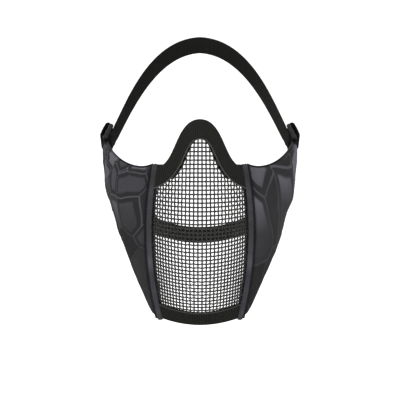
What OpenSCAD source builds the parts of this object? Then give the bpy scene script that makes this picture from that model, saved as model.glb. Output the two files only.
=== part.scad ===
// Half face mask: a stiff woven steel mesh front bound in webbing, two padded fabric wings,
// and two elastic head straps held by ladder locks at the rear corners of the wings.
// Millimetres. +X is the wearer's left, -Y is forward, +Z is up. The origin is on the inside
// of the nose edge at the centre, where the mask hangs on the bridge of the nose.

/* [Mesh front] */
// Height from the nose edge down to the chin edge
mask_h = 188; // [178:1:198]
// Half width of the mesh at its widest
mesh_half_w = 45.5; // [43:0.5:48]
// Depth of the prow section divided by the half width squared
prow = 0.0165; // [0.015:0.0005:0.018]
// How far the chin edge sits behind the front of the mask
chin_set = 56; // [50:1:60]
// Thickness of the woven mesh, which is two wires
mesh_t = 2.2; // [1.8:0.1:2.4]

/* [Bindings and hems] */
// Thickness of the binding webbing
band_t = 1.2; // [1:0.1:1.4]
// Thickness of the pad on the bridge of the nose
nose_pad_t = 4; // [3:0.5:5]
// Width of the hem that clamps the side edge of the mesh, measured across the mask
hem_w = 3; // [2.5:0.1:3.2]
// Gap left between a hem and the front edge of its wing, where the fabric folds
fold_gap = 1.4; // [1.2:0.1:1.8]

/* [Wings] */
// Thickness of the outer camouflage fabric
shell_t = 1.2; // [1:0.1:1.4]
// Thickness of the foam inside a wing
foam_t = 4; // [3.2:0.2:4]
// Thickness of the brushed lining
lining_t = 0.8; // [0.6:0.1:1]

/* [Straps and locks] */
// Width of the elastic straps
strap_w = 20; // [18:1:20]
// Thickness of the elastic straps
strap_t = 1.5; // [1.2:0.1:1.6]
// Thickness of the webbing tab that holds a lock
tab_t = 1.2; // [1:0.1:1.3]
// Diameter of a lock's three cross bars
bar_d = 3.2; // [3:0.1:3.4]
// Distance between neighbouring bars of a lock
bar_pitch = 8; // [7.5:0.25:8.5]
// Thickness of a lock's side rails
rail_t = 2.4; // [2:0.1:2.6]

/* [Hidden] */

skin_gap = 0.05;                        // between layers that are sewn together
wrap_gap = 0.16;                        // between the mesh and what is folded round its edge
fit_gap = 0.3;                          // between pieces that move against each other
nose_set = 6;                           // the nose edge sits this far behind the front
front_y = -(nose_pad_t + band_t + mesh_t / 2 + nose_set);
brow_z = -60;                           // above this height the mesh leans back to the nose
lip_z = -90;                            // below this height it leans back to the chin
chin_power = 1.6;
widest_z = -105;                        // height at which the mesh is widest
seam_narrowing = 0.001447;              // half width lost per squared millimetre from there
hem_top_z = -40;
hem_bottom_z = -183;
cover_in = mesh_t / 2 + wrap_gap;       // inner and outer face of webbing laid on the mesh
cover_out = cover_in + band_t;
wing_in = -mesh_t / 2 - foam_t + 2;     // inner face of a wing's foam
wing_out = wing_in + foam_t;            // its outer face, which the shell lies on

// The bell-shaped nose edge and the inner edge of its binding, as half curves in X and Z.
nose_edge = [[0, 0], [23, 0], [20, -44], [40.5, -42]];
nose_inner = [[0, -18], [16, -18], [9, -55], [43.8, -62.5]];
// The wing's top, bottom and rear edges, as curves in space on the wearer's left.
wing_top = [[61, 26, -48], [84.5, 54, -32], [92.5, 92, -14]];
wing_bottom = [[50, 65, -176], [63, 72, -122], [81, 97, -80]];
wing_rear = [[95, 98, -36], [89, 99, -60]];
wing_bulge = 4;                         // how far the middle of a wing swells outwards

// The head that the straps go round: half sizes and centre of an ellipsoid.
head_half = [77, 95, 120];
head_centre = [0, 93, -20];
upper_tab_v = 0.15;                     // place of each tab along the wing's rear edge
lower_tab_v = 0.85;
tab_reach = 8;                          // from the wing's rear edge to the lock's first bar
tab_hold = 7.5;                         // length of the tab that is sewn into the wing
tab_along = 0.3;                        // how much a tab leaves along its wing, not its strap
tab_w = strap_w - 2;
upper_pull = [-0.29, 0.66, 0.69];       // direction in which each strap leaves its lock
lower_pull = [-0.30, 0.92, -0.25];
upper_rear = [[48, 172, 86], [0, 170, 88]];
lower_rear = [[46, 168, -108], [0, 168, -108]];
lead = 42;                              // how stiffly a strap leaves its lock
run_end = 0.45;                         // where a side run hands over to the band behind
lock_out = 2 * bar_pitch + bar_d;       // from the first bar to the lock's strap end
lock_w = strap_w + 1 + 2 * rail_t;
tail_l = 15;                            // free end of the strap past its lock
stitch = [2.4, 0.5, 0.45];              // length, width and height of one stitch
stitch_step = 4;

// ---- vectors and curves ----
function unit(v) = v / norm(v);
function lerp(a, b, t) = a + (b - a) * t;
function steps(a, b, n) = [for (i = [0:n]) a + (b - a) * i / n];
function bezier(p, t) = let (s = 1 - t)
    p[0] * s * s * s + p[1] * 3 * s * s * t + p[2] * 3 * s * t * t + p[3] * t * t * t;
function mirrored(p) = [-p[0], p[1], p[2]];

// ---- the mesh surface ----
function front(z) = front_y
    + (z > brow_z ? nose_set * pow((z - brow_z) / -brow_z, 2) : 0)
    + (z < lip_z ? chin_set * pow((lip_z - z) / (mask_h + lip_z), chin_power) : 0);
function lean(z) = (front(z + 0.5) - front(z - 0.5));
function seam_x(z) = mesh_half_w - seam_narrowing * pow(z - widest_z, 2);
function on_mesh(x, z, off) =
    [x, front(z) + prow * x * x, z] + off * unit([2 * prow * x, -1, lean(z)]);
function chin_edge_z(x) = -mask_h + 5.5 * pow(x / 38, 2);
function chin_inner_z(x) = -mask_h + 12.5 + 7.5 * pow(x / 38, 2);

// A point of the nose binding's outline at length t from the centre to an end on either side,
// and at width f from its outer edge to its inner one.
function nose_outline(t, f) = lerp(bezier(nose_edge, t), bezier(nose_inner, t), f);
function nose_at(t, f, off) = let (p = nose_outline(abs(t), f)) on_mesh(sign(t) * p[0], p[1], off);
// The same for the chin binding, whose ends stop at the hems.
function chin_at(t, f, off) =
    let (end_z = hem_bottom_z + 15 * f, x = t * (seam_x(end_z) - fit_gap))
    on_mesh(x, lerp(chin_edge_z(x), chin_inner_z(x), f), off);

// The mesh panel's own outline, which runs under the bindings and hems, filled as a patch.
panel_past_seam = hem_w - 0.4;          // how far the panel runs under a hem
function panel_top(a) = let (p = nose_outline(abs(a), 0.14)) [sign(a) * p[0], p[1]];
function panel_bottom(a) =
    let (x = a * (seam_x(hem_bottom_z) + panel_past_seam)) [x, chin_edge_z(x) + 2];
function panel_side(b) = let (z = lerp(panel_top(1)[1], panel_bottom(1)[1], b))
    [lerp(panel_top(1)[0], seam_x(z) + panel_past_seam, min(1, 12 * b)), z];
function panel(a, b) = let (s = panel_side(b), h = (1 + a) / 2,
        edges = lerp(panel_top(a), panel_bottom(a), b),
        sides = lerp([-s[0], s[1]], s, h),
        corners = lerp(lerp(panel_top(-1), panel_top(1), h),
            lerp(panel_bottom(-1), panel_bottom(1), h), b))
    edges + sides - corners;

// ---- the wing surface, on the wearer's left ----
wing_front_x = hem_w + fold_gap;
function wing_front(v) = let (z = lerp(hem_top_z, hem_bottom_z, v))
    on_mesh(seam_x(z) + wing_front_x, z, 0);
function top_edge(u) = bezier(concat([wing_front(0)], wing_top), u);
function bottom_edge(u) = bezier(concat([wing_front(1)], wing_bottom), u);
function rear_edge(v) = bezier(concat([wing_top[2]], wing_rear, [wing_bottom[2]]), v);
function wing_mid(u, v) = lerp(top_edge(u), bottom_edge(u), v)
    + lerp(wing_front(v), rear_edge(v), u)
    - lerp(lerp(wing_front(0), rear_edge(0), u), lerp(wing_front(1), rear_edge(1), u), v)
    + [0.9, -0.4, 0] * wing_bulge * 16 * u * (1 - u) * v * (1 - v);
function wing_out_dir(u, v) = let (d = 0.02,
        along = wing_mid(min(u + d, 1), v) - wing_mid(max(u - d, 0), v),
        down = wing_mid(u, min(v + d, 1)) - wing_mid(u, max(v - d, 0)))
    unit(cross(down, along));
function on_wing(u, v, off) = wing_mid(u, v) + off * wing_out_dir(u, v);

// ---- the straps, on the wearer's left ----
function across(a, n) = unit(cross(n, a));
function head_out(p) = [for (i = [0:2]) (p[i] - head_centre[i]) / pow(head_half[i], 2)];
function square_to(v, a) = unit(v - a * (v * a));
function lock_root(v, pull) =
    let (edge = rear_edge(v), back = unit(tab_along * unit(edge - on_wing(0.9, v, 0)) + pull))
    edge + back * tab_reach;
// A lock's frame: the way its strap pulls, the way its bars lie, its outward face and the
// middle of its first bar.
function lock_frame(v, pull) =
    let (a = unit(pull), o = lock_root(v, a), n = square_to(head_out(o), a))
    [a, across(a, n), n, o];
function placed(f, p) = f[3] + f[0] * p[0] + f[1] * p[1] + f[2] * p[2];
function strap_start(f) = placed(f, [lock_out + 1, 0, -bar_d / 2 - strap_t / 2 - 0.2]);
function strap_line(f, rear) = let (p = strap_start(f)) concat([p, p + f[0] * lead], rear);
function strap_at(line, t, side, off) = let (p = bezier(line, t),
        a = unit(bezier(line, min(t + 0.01, 1)) - bezier(line, t - 0.01)),
        n = square_to(head_out(p), a))
    p + across(a, n) * side + n * off;
function strap_rows(line, ts, off) =
    [for (t = ts) [for (side = [-strap_w / 2, 0, strap_w / 2]) strap_at(line, t, side, off)]];

upper_frame = lock_frame(upper_tab_v, upper_pull);
lower_frame = lock_frame(lower_tab_v, lower_pull);
upper_line = strap_line(upper_frame, upper_rear);
lower_line = strap_line(lower_frame, lower_rear);

// ---- solids ----
// A closed skin between two grids of points of the same size, with a rim all round.
module skin(outer, inner) {
    rows = len(outer);
    cols = len(outer[0]);
    all_points = concat([for (r = outer) each r], [for (r = inner) each r]);
    function o(i, j) = i * cols + j;
    function n(i, j) = rows * cols + i * cols + j;
    function quad(a, b, c, d) = [[a, b, c], [a, c, d]];
    sides = [for (i = [0:rows - 2], j = [0:cols - 2]) each concat(
        quad(o(i, j), o(i, j + 1), o(i + 1, j + 1), o(i + 1, j)),
        quad(n(i, j), n(i + 1, j), n(i + 1, j + 1), n(i, j + 1)))];
    ends = [for (j = [0:cols - 2]) each concat(
        quad(o(0, j), n(0, j), n(0, j + 1), o(0, j + 1)),
        quad(o(rows - 1, j), o(rows - 1, j + 1), n(rows - 1, j + 1), n(rows - 1, j)))];
    rims = [for (i = [0:rows - 2]) each concat(
        quad(o(i, 0), o(i + 1, 0), n(i + 1, 0), n(i, 0)),
        quad(o(i, cols - 1), n(i, cols - 1), n(i + 1, cols - 1), o(i + 1, cols - 1)))];
    polyhedron(all_points, concat(sides, ends, rims));
}
module left_or_right(side) {
    if (side == "left") children();
    else mirror([1, 0, 0]) children();
}
// One stitch lying on a surface at p, running along a, with n pointing out of the surface.
module stitch_at(p, a, n) {
    m = square_to(n, a);
    multmatrix([for (i = [0:2]) [a[i], across(a, m)[i], m[i], p[i] + m[i] * (stitch[2] / 2 + 0.2)]])
        cube(stitch, center = true);
}
module stitch_row(points, normals) {
    for (i = [0:len(points) - 2])
        stitch_at((points[i] + points[i + 1]) / 2, unit(points[i + 1] - points[i]), normals[i]);
}
module in_lock(f) {
    multmatrix([for (i = [0:2]) [f[0][i], f[1][i], f[2][i], f[3][i]]]) children();
}
// A flat strip folded along a path in a lock's own plane of length and height.
function path_turn(path, i) =
    let (d = unit(path[min(i + 1, len(path) - 1)] - path[max(i - 1, 0)])) [-d[1], d[0]];
module folded_strip(f, path, width, thick) {
    function face(side) = [for (i = [0:len(path) - 1])
        let (q = path[i] + path_turn(path, i) * side * thick / 2)
        [for (w = [-width / 2, width / 2]) placed(f, [q[0], w, q[1]])]];
    skin(face(1), face(-1));
}

// ---- the mesh front ----
module mesh_face() {
    function face(off) = [for (a = steps(-1, 1, 28)) [for (b = steps(0, 1, 24))
        let (p = panel(a, b)) on_mesh(p[0], p[1], off)]];
    color("dimgray") skin(face(mesh_t / 2), face(-mesh_t / 2));
}

// A band folded over an edge of the mesh: down the outside, round the edge and up the inside.
// Each step is [width f, offset of the outer face, offset of the inner face].
fold_profile = [[1, cover_out, cover_in], [0.7, cover_out, cover_in], [0.4, cover_out, cover_in],
    [0.07, cover_out, cover_in], [0, 0.6, 0.2], [0, -0.6, -0.2], [0.07, -cover_out, -cover_in],
    [0.45, -cover_out, -cover_in], [0.85, -cover_out, -cover_in]];
function folded_f(row, inner) = row[0] + (inner && abs(row[1]) < 1 ? 0.07 : 0);

module nose_binding() {
    function face(k) = [for (t = steps(-1, 1, 36))
        [for (r = fold_profile) nose_at(t, folded_f(r, k == 2), r[k])]];
    color([0.11, 0.11, 0.10]) skin(face(1), face(2));
}
// The pad's section: each step is [width f, share of the pad's thickness].
pad_profile = [[0.05, 0.4], [0.14, 0.95], [0.5, 1], [0.86, 0.95], [0.95, 0.4]];
module nose_pad() {
    pad_out = -cover_out - wrap_gap;
    function face(thick) = [for (t = steps(-0.8, 0.8, 28))
        [for (q = pad_profile) nose_at(t, q[0], pad_out - thick * q[1])]];
    color([0.16, 0.16, 0.16]) skin(face(0), face(nose_pad_t));
}
module chin_binding() {
    function face(k) = [for (r = fold_profile)
        [for (t = steps(-1, 1, 22)) chin_at(t, folded_f(r, k == 2), r[k])]];
    color([0.11, 0.11, 0.10]) skin(face(1), face(2));
}

// A strip of fabric along the seam, from x0 to x1 past it, between two offsets.
module seam_strip(x0, x1, low, high) {
    function face(off) = [for (z = steps(hem_top_z, hem_bottom_z, 18))
        [for (x = [x0, (x0 + x1) / 2, x1]) on_mesh(seam_x(z) + x, z, off)]];
    skin(face(high), face(low));
}
module hem(side) {
    color([0.24, 0.24, 0.26]) left_or_right(side)
        seam_strip(0, hem_w, cover_out + skin_gap, cover_out + skin_gap + shell_t);
}
module edge_tape(side) {
    tape_in = -cover_out - wrap_gap;
    color([0.11, 0.11, 0.10]) left_or_right(side) seam_strip(-1.2, hem_w, tape_in - band_t, tape_in);
}
module nose_stitching() {
    line = steps(-0.9, 0.9, 34);
    color([0.2, 0.2, 0.19]) stitch_row([for (t = line) nose_at(t, 0.82, cover_out)],
        [for (t = line) nose_at(t, 0.82, 1) - nose_at(t, 0.82, 0)]);
}
module chin_stitching() {
    line = steps(-0.85, 0.85, 16);
    color([0.2, 0.2, 0.19]) stitch_row([for (t = line) chin_at(t, 0.8, cover_out)],
        [for (t = line) chin_at(t, 0.8, 1) - chin_at(t, 0.8, 0)]);
}
module hem_stitching(side) {
    hem_out = cover_out + skin_gap + shell_t;
    count = round((hem_top_z - hem_bottom_z) / stitch_step);
    line = steps(hem_top_z - 3, hem_bottom_z + 3, count);
    color([0.2, 0.2, 0.19]) left_or_right(side)
        stitch_row([for (z = line) on_mesh(seam_x(z) + hem_w - 0.7, z, hem_out)],
            [for (z = line) on_mesh(40, z, 1) - on_mesh(40, z, 0)]);
}

// ---- the wings ----
// One layer of a wing, as far back as the given number of the eleven columns of its grid.
module wing_layer(side, low, high, last_column) {
    function face(off) = [for (v = steps(0, 1, 10))
        [for (i = [0:last_column]) on_wing(i / 10, v, off)]];
    left_or_right(side) skin(face(high), face(low));
}
module wing_shell(side) {
    shell_in = wing_out + skin_gap;
    color([0.26, 0.26, 0.28]) wing_layer(side, shell_in, shell_in + shell_t, 10);
}
module wing_foam(side) {
    color([0.3, 0.3, 0.3]) wing_layer(side, wing_in, wing_out, 9);
}
module wing_lining(side) {
    lining_out = wing_in - skin_gap;
    color([0.13, 0.13, 0.13]) wing_layer(side, lining_out - lining_t, lining_out, 10);
}

// ---- the tabs, sewn between a wing's shell and lining and folded round a lock's first bar ----
module tab(side, v, f) {
    r = bar_d / 2 + fit_gap + tab_t / 2;
    half = tab_t / 2 + skin_gap;
    arc = [for (a = steps(115, -115, 10)) [r * cos(a), r * sin(a)]];
    edge_dir = unit(rear_edge(v + 0.03) - rear_edge(v - 0.03));
    wing_n = wing_out_dir(0.98, v);
    into = cross(wing_n, edge_dir) * (cross(wing_n, edge_dir)[1] > 0 ? -1 : 1);
    seat = rear_edge(v) + wing_n * (wing_in + wing_out) / 2;
    way = across(f[0], f[2]) * edge_dir > 0 ? 1 : -1;
    // sewn end, wing edge, then the loop, and back the same way
    function sewn(s, depth, w) = seat + into * depth + wing_n * s * half + edge_dir * way * w;
    function loop(q, w) = placed(f, [q[0], w, q[1]]);
    function layer(s, out) = let (k = out * tab_t / 2) [
        for (d = s > 0 ? [tab_hold, tab_hold / 2, 0.5] : [0.5, tab_hold / 2, tab_hold])
            [for (w = [-tab_w / 2, tab_w / 2]) sewn(s, d, w) + wing_n * s * k]];
    function round_bar(out) = [for (q = arc) let (d = unit(q))
        [for (w = [-tab_w / 2, tab_w / 2]) loop(q + d * out * tab_t / 2, w)]];
    color([0.12, 0.12, 0.12]) left_or_right(side) skin(
        concat(layer(1, -1), round_bar(-1), layer(-1, -1)),
        concat(layer(1, 1), round_bar(1), layer(-1, 1)));
}
module tab_stitching(side) {
    lift = wing_out + skin_gap + shell_t;
    color([0.2, 0.2, 0.19]) left_or_right(side)
        for (v = [upper_tab_v, lower_tab_v], u = [0.955, 0.975]) {
            line = steps(v - 0.11, v + 0.11, 5);
            stitch_row([for (w = line) on_wing(u, w, lift)], [for (w = line) wing_out_dir(u, w)]);
        }
}

// ---- the ladder locks: length along X, bars along Y, outer face towards Z ----
module rail() {
    rotate([90, 0, 0]) linear_extrude(rail_t, center = true) {
        circle(d = bar_d + 2, $fn = 32);
        translate([2 * bar_pitch, 0]) circle(d = bar_d + 1, $fn = 32);
        translate([0, -bar_d / 2 - 0.3]) square([2 * bar_pitch, bar_d + 0.6]);
    }
}
module lock_body() {
    bar_span = lock_w - 2 * rail_t;
    for (s = [-1, 1]) translate([0, s * (bar_span + rail_t) / 2, 0]) rail();
    for (i = [0:2])
        translate([i * bar_pitch, 0, 0]) rotate([90, 0, 0])
            cylinder(d = bar_d, h = bar_span + 0.2, center = true, $fn = 32);
    lip();
}
// The grip lip, a thin ledge past the last bar.
module lip() {
    lip_l = 3.4;
    lip_t = 1.4;
    translate([2 * bar_pitch, -(lock_w - 2 * rail_t) / 2 - 0.1, bar_d / 2 - lip_t])
        cube([lip_l, lock_w - 2 * rail_t + 0.2, lip_t]);
}
module lock(side, f) {
    color([0.1, 0.1, 0.1]) left_or_right(side) in_lock(f) lock_body();
}

// ---- the straps ----
// The end of a strap: in under the lock, round its middle bar, over the last bar and out.
module strap_end(side, f) {
    level = bar_d / 2 + strap_t / 2 + 0.2;
    round_mid = [for (a = steps(260, 100, 8)) [bar_pitch + level * cos(a), level * sin(a)]];
    curl_r = 2.2;
    curl = [for (a = steps(-90, 90, 6))
        [lock_out + 0.6 + curl_r * cos(a), level + curl_r + curl_r * sin(a)]];
    tail_h = level + 2 * curl_r;
    tail = [[lock_out - tail_l / 2, tail_h + 0.3], [lock_out - tail_l, tail_h - 0.2]];
    path = concat([[lock_out + 0.8, -level], [2 * bar_pitch, -level], [1.4 * bar_pitch, -level]],
        round_mid, [[1.5 * bar_pitch, level], [2 * bar_pitch, level]], curl, tail);
    color([0.12, 0.12, 0.11]) left_or_right(side) folded_strip(f, path, strap_w, strap_t);
}
module strap_run(side, line) {
    function face(off) = strap_rows(line, steps(0.002, run_end, 12), off);
    color([0.12, 0.12, 0.11]) left_or_right(side) skin(face(strap_t / 2), face(-strap_t / 2));
}
// The band behind the head, from the left side run's end to the right one's.
module strap_band(line) {
    function left_half(off) = strap_rows(line, steps(run_end + 0.004, 1, 12), off);
    function whole(off) = let (a = left_half(off), n = len(a))
        concat(a, [for (i = [n - 2:-1:0]) [for (p = a[i]) mirrored(p)]]);
    color([0.12, 0.12, 0.11]) skin(whole(strap_t / 2), whole(-strap_t / 2));
}

// ---- the sub-parts ----
mesh_face();
nose_binding();
nose_pad();
chin_binding();
hem("left");  // left_hem
hem("right");  // right_hem
edge_tape("left");  // left_edge_tape
edge_tape("right");  // right_edge_tape
nose_stitching();
chin_stitching();
hem_stitching("left");  // left_hem_stitching
hem_stitching("right");  // right_hem_stitching
wing_shell("left");  // left_wing_shell
wing_foam("left");  // left_wing_foam
wing_lining("left");  // left_wing_lining
wing_shell("right");  // right_wing_shell
wing_foam("right");  // right_wing_foam
wing_lining("right");  // right_wing_lining
tab("left", upper_tab_v, upper_frame);  // left_upper_tab
tab("left", lower_tab_v, lower_frame);  // left_lower_tab
tab("right", upper_tab_v, upper_frame);  // right_upper_tab
tab("right", lower_tab_v, lower_frame);  // right_lower_tab
tab_stitching("left");  // left_tab_stitching
tab_stitching("right");  // right_tab_stitching
lock("left", upper_frame);  // left_upper_lock
lock("left", lower_frame);  // left_lower_lock
lock("right", upper_frame);  // right_upper_lock
lock("right", lower_frame);  // right_lower_lock
strap_end("left", upper_frame);  // left_upper_strap_end
strap_end("left", lower_frame);  // left_lower_strap_end
strap_end("right", upper_frame);  // right_upper_strap_end
strap_end("right", lower_frame);  // right_lower_strap_end
strap_run("left", upper_line);  // left_upper_strap_run
strap_run("left", lower_line);  // left_lower_strap_run
strap_run("right", upper_line);  // right_upper_strap_run
strap_run("right", lower_line);  // right_lower_strap_run
strap_band(upper_line);  // upper_strap_band
strap_band(lower_line);  // lower_strap_band
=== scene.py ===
"""Half face mask: woven steel mesh front, webbing bindings, padded camouflage wings, elastic straps.

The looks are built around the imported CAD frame. Lengths are millimetres until a mesh is made, and
the frame is the CAD one: +X is the wearer's left, -Y is forward, +Z is up, and the origin is on the
inside of the nose edge.
"""

import math
from collections import namedtuple

import bmesh
import bpy
import numpy as np
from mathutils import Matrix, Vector


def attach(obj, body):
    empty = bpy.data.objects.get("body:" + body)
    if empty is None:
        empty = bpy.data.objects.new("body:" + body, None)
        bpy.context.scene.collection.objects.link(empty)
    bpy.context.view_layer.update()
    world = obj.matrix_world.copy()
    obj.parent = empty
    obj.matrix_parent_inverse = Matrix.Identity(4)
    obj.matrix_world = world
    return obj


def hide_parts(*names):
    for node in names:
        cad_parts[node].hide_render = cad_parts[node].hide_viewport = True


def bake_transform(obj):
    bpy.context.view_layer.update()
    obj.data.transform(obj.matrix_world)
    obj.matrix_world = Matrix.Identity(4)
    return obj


bpy.context.scene.view_settings.view_transform = "Standard"
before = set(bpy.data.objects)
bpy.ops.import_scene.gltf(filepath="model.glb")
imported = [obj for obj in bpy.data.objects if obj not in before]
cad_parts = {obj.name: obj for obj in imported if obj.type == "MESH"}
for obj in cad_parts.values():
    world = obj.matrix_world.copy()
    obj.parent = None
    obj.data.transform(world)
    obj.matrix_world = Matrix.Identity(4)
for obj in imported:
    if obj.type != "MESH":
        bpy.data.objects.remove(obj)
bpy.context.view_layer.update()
MM = 0.001
SIDES = ("left", "right")
LEVELS = ("upper", "lower")

# ---- camera ----
CAMERA_AWAY, CAMERA_HEIGHT, CAMERA_LENS = 1.162, -0.072, 116
camera = bpy.data.objects.new("camera", bpy.data.cameras.new("camera"))
bpy.context.scene.collection.objects.link(camera)
bpy.context.scene.camera = camera
camera.data.lens = CAMERA_LENS
camera.data.sensor_width = 36
camera.location = (0, -CAMERA_AWAY, CAMERA_HEIGHT)
camera.rotation_euler = (math.pi / 2, 0, 0)

# ---- the driving sizes, as in the CAD model ----
MASK_H, MESH_HALF_W, PROW, CHIN_SET, MESH_T = 188, 45.5, 0.0165, 56, 2.2
BAND_T, NOSE_PAD_T, HEM_W, FOLD_GAP = 1.2, 4, 3, 1.4
SHELL_T, FOAM_T, LINING_T = 1.2, 4, 0.8
STRAP_W, STRAP_T, TAB_T, BAR_D, BAR_PITCH, RAIL_T = 20, 1.5, 1.2, 3.2, 8, 2.4
NOSE_SET, BROW_Z, LIP_Z, CHIN_POWER = 6, -60, -90, 1.6
FRONT_Y = -(NOSE_PAD_T + BAND_T + MESH_T / 2 + NOSE_SET)
WIDEST_Z, SEAM_NARROWING = -105, 0.001447
CHIN_HALF_W, CHIN_EDGE_RISE, CHIN_BAND_W, CHIN_INNER_RISE = 38, 5.5, 12.5, 7.5
HEM_TOP_Z, HEM_BOTTOM_Z = -40, -183
COVER_IN = MESH_T / 2 + 0.16
COVER_OUT = COVER_IN + BAND_T
WING_IN = -MESH_T / 2 - FOAM_T + 2
WING_OUT = WING_IN + FOAM_T
NOSE_EDGE = [(0, 0), (23, 0), (20, -44), (40.5, -42)]
NOSE_INNER = [(0, -18), (16, -18), (9, -55), (43.8, -62.5)]
WING_TOP = [(61, 26, -48), (84.5, 54, -32), (92.5, 92, -14)]
WING_BOTTOM = [(50, 65, -176), (63, 72, -122), (81, 97, -80)]
WING_REAR = [(95, 98, -36), (89, 99, -60)]
WING_BULGE = 4
HEAD_HALF = np.array([77.0, 95.0, 120.0])
HEAD_CENTRE = np.array([0.0, 93.0, -20.0])
TAB_V = {"upper": 0.15, "lower": 0.85}
PULL = {"upper": (-0.29, 0.66, 0.69), "lower": (-0.30, 0.92, -0.25)}
STRAP_REAR = {
    "upper": [(48, 172, 86), (0, 170, 88)],
    "lower": [(46, 168, -108), (0, 168, -108)],
}
TAB_REACH, TAB_HOLD, TAB_ALONG, TAB_W = 8, 7.5, 0.3, STRAP_W - 2
STRAP_LEAD = 42
LOCK_OUT = 2 * BAR_PITCH + BAR_D
LOCK_SPAN = STRAP_W + 1
BAR_REACH = LOCK_SPAN / 2 + 0.4
TAIL_L = 15


# ---- vectors and curves ----
def unit(v):
    v = np.asarray(v, float)
    return v / np.linalg.norm(v, axis=-1, keepdims=True)


def bezier(points, t):
    p = [np.asarray(q, float) for q in points]
    t = np.asarray(t, float)[..., None]
    s = 1 - t
    return p[0] * s**3 + 3 * p[1] * s * s * t + 3 * p[2] * s * t * t + p[3] * t**3


def smooth(t):
    t = np.clip(t, 0, 1)
    return t * t * (3 - 2 * t)


def along_lengths(points):
    """Distance along a line of points, from its start."""
    steps = np.linalg.norm(np.diff(points, axis=0), axis=1)
    return np.concatenate([[0], np.cumsum(steps)])


def even(points, step):
    """The line through points, cut at about equal steps."""
    points = np.asarray(points, float)
    s = along_lengths(points)
    n = max(2, int(round(s[-1] / step)) + 1)
    at = np.linspace(0, s[-1], n)
    return np.stack([np.interp(at, s, points[:, i]) for i in range(points.shape[1])], 1)


def rounded(points, step, passes=3):
    """A polyline with its corners rounded off, in short even steps."""
    p = np.asarray(points, float)
    for _ in range(passes):
        a, b = p[:-1], p[1:]
        mid = np.stack([0.75 * a + 0.25 * b, 0.25 * a + 0.75 * b], 1).reshape(-1, p.shape[1])
        p = np.concatenate([p[:1], mid, p[-1:]])
    return even(p, step)


# ---- the mesh surface ----
def front(z):
    z = np.asarray(z, float)
    brow = np.clip((z - BROW_Z) / -BROW_Z, 0, None)
    chin = np.clip((LIP_Z - z) / (MASK_H + LIP_Z), 0, None)
    return FRONT_Y + NOSE_SET * brow**2 + CHIN_SET * chin**CHIN_POWER


def seam_x(z):
    return MESH_HALF_W - SEAM_NARROWING * (np.asarray(z, float) - WIDEST_Z) ** 2


def on_mesh(x, z, off):
    x, z, off = np.broadcast_arrays(np.asarray(x, float), z, off)
    lean = front(z + 0.5) - front(z - 0.5)
    n = unit(np.stack([2 * PROW * x, -np.ones_like(x), lean], -1))
    return np.stack([x, front(z) + PROW * x * x, z], -1) + off[..., None] * n


def nose_outline(t, f):
    f = np.asarray(f, float)[..., None]
    return bezier(NOSE_EDGE, t) * (1 - f) + bezier(NOSE_INNER, t) * f


def nose_at(t, f, off):
    t, f, off = np.broadcast_arrays(np.asarray(t, float), f, off)
    p = nose_outline(np.abs(t), f)
    return on_mesh(np.sign(t) * p[..., 0], p[..., 1], off)


def chin_edge_z(x):
    return -MASK_H + CHIN_EDGE_RISE * (x / CHIN_HALF_W) ** 2


def chin_inner_z(x):
    return -MASK_H + CHIN_BAND_W + CHIN_INNER_RISE * (x / CHIN_HALF_W) ** 2


def chin_at(t, f, off):
    t, f, off = np.broadcast_arrays(np.asarray(t, float), f, off)
    x = t * (seam_x(HEM_BOTTOM_Z + 15 * f) - 0.3)
    z = chin_edge_z(x) * (1 - f) + chin_inner_z(x) * f
    return on_mesh(x, z, off)


# ---- the wing surface, on the wearer's left ----
def wing_front(v):
    z = HEM_TOP_Z + (HEM_BOTTOM_Z - HEM_TOP_Z) * np.asarray(v, float)
    return on_mesh(seam_x(z) + HEM_W + FOLD_GAP, z, 0)


def wing_mid(u, v):
    u, v = np.broadcast_arrays(np.asarray(u, float), v)
    top = bezier([wing_front(0.0), *WING_TOP], u)
    bottom = bezier([wing_front(1.0), *WING_BOTTOM], u)
    rear = bezier([WING_TOP[2], *WING_REAR, WING_BOTTOM[2]], v)
    a, b = u[..., None], v[..., None]
    corners = (1 - b) * ((1 - a) * wing_front(0.0) + a * np.array(WING_TOP[2], float))
    corners = corners + b * ((1 - a) * wing_front(1.0) + a * np.array(WING_BOTTOM[2], float))
    sides = (1 - a) * wing_front(v) + a * rear
    bulge = WING_BULGE * 16 * a * (1 - a) * b * (1 - b)
    return top * (1 - b) + bottom * b + sides - corners + np.array([0.9, -0.4, 0]) * bulge


def wing_out_dir(u, v):
    d = 0.02
    u, v = np.broadcast_arrays(np.asarray(u, float), v)
    along = wing_mid(np.minimum(u + d, 1), v) - wing_mid(np.maximum(u - d, 0), v)
    down = wing_mid(u, np.minimum(v + d, 1)) - wing_mid(u, np.maximum(v - d, 0))
    return unit(np.cross(down, along))


def on_wing(u, v, off):
    u, v, off = np.broadcast_arrays(np.asarray(u, float), v, off)
    return wing_mid(u, v) + np.asarray(off, float)[..., None] * wing_out_dir(u, v)


def rear_edge(v):
    return bezier([WING_TOP[2], *WING_REAR, WING_BOTTOM[2]], v)


# ---- locks and straps, on the wearer's left ----
def square_to(v, a):
    return unit(v - a * np.sum(v * a, -1, keepdims=True))


def across(a, n):
    return unit(np.cross(n, a))


def head_out(p):
    return (p - HEAD_CENTRE) / HEAD_HALF**2


LockFrame = namedtuple("LockFrame", "pull across out origin")


def lock_frame(level):
    """A lock's own axes: along the pull, along the bars and outward, from its first bar's middle."""
    v, pull = TAB_V[level], unit(PULL[level])
    edge = rear_edge(v)
    back = unit(TAB_ALONG * unit(edge - on_wing(0.9, v, 0)) + pull)
    origin = edge + back * TAB_REACH
    out = square_to(head_out(origin), pull)
    return LockFrame(pull, across(pull, out), out, origin)


LOCKS = {level: lock_frame(level) for level in LEVELS}


def placed(lock, p):
    """Points in a lock's own axes, in the frame's axes."""
    p = np.asarray(p, float)
    return lock.origin + p[..., :1] * lock.pull + p[..., 1:2] * lock.across + p[..., 2:3] * lock.out


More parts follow.
